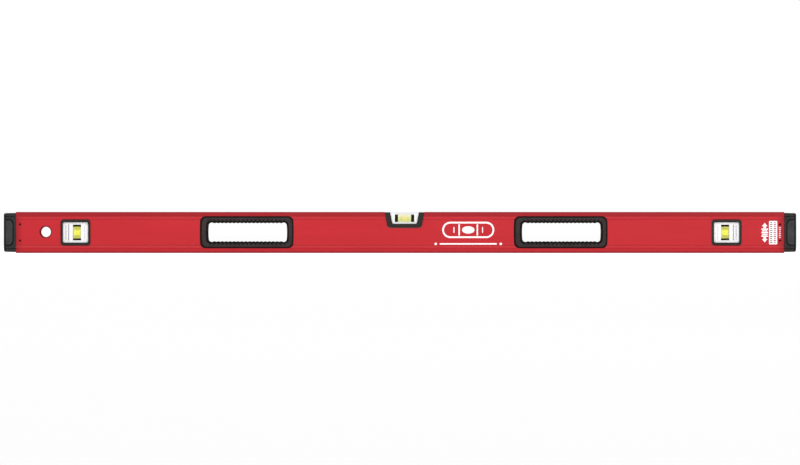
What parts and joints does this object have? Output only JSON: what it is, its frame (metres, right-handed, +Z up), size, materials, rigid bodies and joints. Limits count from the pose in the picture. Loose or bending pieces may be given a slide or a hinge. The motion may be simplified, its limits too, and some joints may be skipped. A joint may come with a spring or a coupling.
{
  "type": "spirit level",
  "caption": "Long box-beam spirit level with a level window in its top edge, an upright vial window near each end, through hand holes with rubber grips, and pull-off end caps.",
  "frame": {"origin": "middle of the bottom working face", "axes": "+X along the beam to the right seen from the front, -Y out of the front face, +Z up to the top working face"},
  "size_m": [1.2192, 0.0286, 0.0632],
  "materials": {
    "red_paint": "satin red powder coat on extruded aluminium; the two working faces are milled bare",
    "black_rubber": "matt moulded rubber",
    "dark_plastic": "fine-textured moulded plastic",
    "white_plastic": "smooth white reflector plastic",
    "clear_acrylic": "polished clear acrylic",
    "yellow_fluid": "clear yellow-green vial liquid",
    "air_bubble": "air bubble in the liquid",
    "black_ring": "black indicator ring",
    "zinc_steel": "zinc-plated steel"
  },
  "bodies": {
    "beam_body": {"beam": "red_paint", "grip_left_front_frame": "dark_plastic", "grip_left_front_rubber": "black_rubber", "grip_left_rear_frame": "dark_plastic", "grip_left_rear_rubber": "black_rubber", "grip_right_front_frame": "dark_plastic", "grip_right_front_rubber": "black_rubber", "grip_right_rear_frame": "dark_plastic", "grip_right_rear_rubber": "black_rubber", "level_bezel_front": "dark_plastic", "level_bezel_rear": "dark_plastic", "level_bracket": "zinc_steel", "level_fluid": "yellow_fluid", "level_housing": "white_plastic", "level_lens_front": "clear_acrylic", "level_lens_rear": "clear_acrylic", "level_lens_top": "clear_acrylic", "level_ring_left": "black_ring", "level_ring_right": "black_ring", "level_screw_left": "zinc_steel", "level_screw_right": "zinc_steel", "level_vial": "clear_acrylic", "level_vial_plug": "clear_acrylic", "plumb_left_bezel_front": "dark_plastic", "plumb_left_bezel_rear": "dark_plastic", "plumb_left_bracket": "zinc_steel", "plumb_left_fluid": "yellow_fluid", "plumb_left_housing": "white_plastic", "plumb_left_lens_front": "clear_acrylic", "plumb_left_lens_rear": "clear_acrylic", "plumb_left_ring_lower": "black_ring", "plumb_left_ring_upper": "black_ring", "plumb_left_screw_lower": "zinc_steel", "plumb_left_screw_upper": "zinc_steel", "plumb_left_vial": "clear_acrylic", "plumb_left_vial_plug": "clear_acrylic", "plumb_right_bezel_front": "dark_plastic", "plumb_right_bezel_rear": "dark_plastic", "plumb_right_bracket": "zinc_steel", "plumb_right_fluid": "yellow_fluid", "plumb_right_housing": "white_plastic", "plumb_right_lens_front": "clear_acrylic", "plumb_right_lens_rear": "clear_acrylic", "plumb_right_ring_lower": "black_ring", "plumb_right_ring_upper": "black_ring", "plumb_right_screw_lower": "zinc_steel", "plumb_right_screw_upper": "zinc_steel", "plumb_right_vial": "clear_acrylic", "plumb_right_vial_plug": "clear_acrylic"},
    "end_cap_left": {"end_cap_left_bumper": "black_rubber", "end_cap_left_core": "dark_plastic"},
    "end_cap_right": {"end_cap_right_bumper": "black_rubber", "end_cap_right_core": "dark_plastic"},
    "plumb_left_bubble": {"plumb_left_bubble": "air_bubble"},
    "level_bubble": {"level_bubble": "air_bubble"},
    "plumb_right_bubble": {"plumb_right_bubble": "air_bubble"}
  },
  "joints": [
    {"name": "end_cap_left_pull", "type": "slide", "parent": "beam_body", "child": "end_cap_left", "axis": [-1, 0, 0], "range_m": [0, 0.045]},
    {"name": "end_cap_right_pull", "type": "slide", "parent": "beam_body", "child": "end_cap_right", "axis": [1, 0, 0], "range_m": [0, 0.045]},
    {"name": "plumb_left_bubble_travel", "type": "slide", "parent": "beam_body", "child": "plumb_left_bubble", "axis": [0, 0, 1], "range_m": [-0.0072, 0.0072], "stiffness_N_per_m": 6},
    {"name": "level_bubble_travel", "type": "slide", "parent": "beam_body", "child": "level_bubble", "axis": [1, 0, 0], "range_m": [-0.0108, 0.0108], "stiffness_N_per_m": 6},
    {"name": "plumb_right_bubble_travel", "type": "slide", "parent": "beam_body", "child": "plumb_right_bubble", "axis": [0, 0, 1], "range_m": [-0.0072, 0.0072], "stiffness_N_per_m": 6}
  ]
}
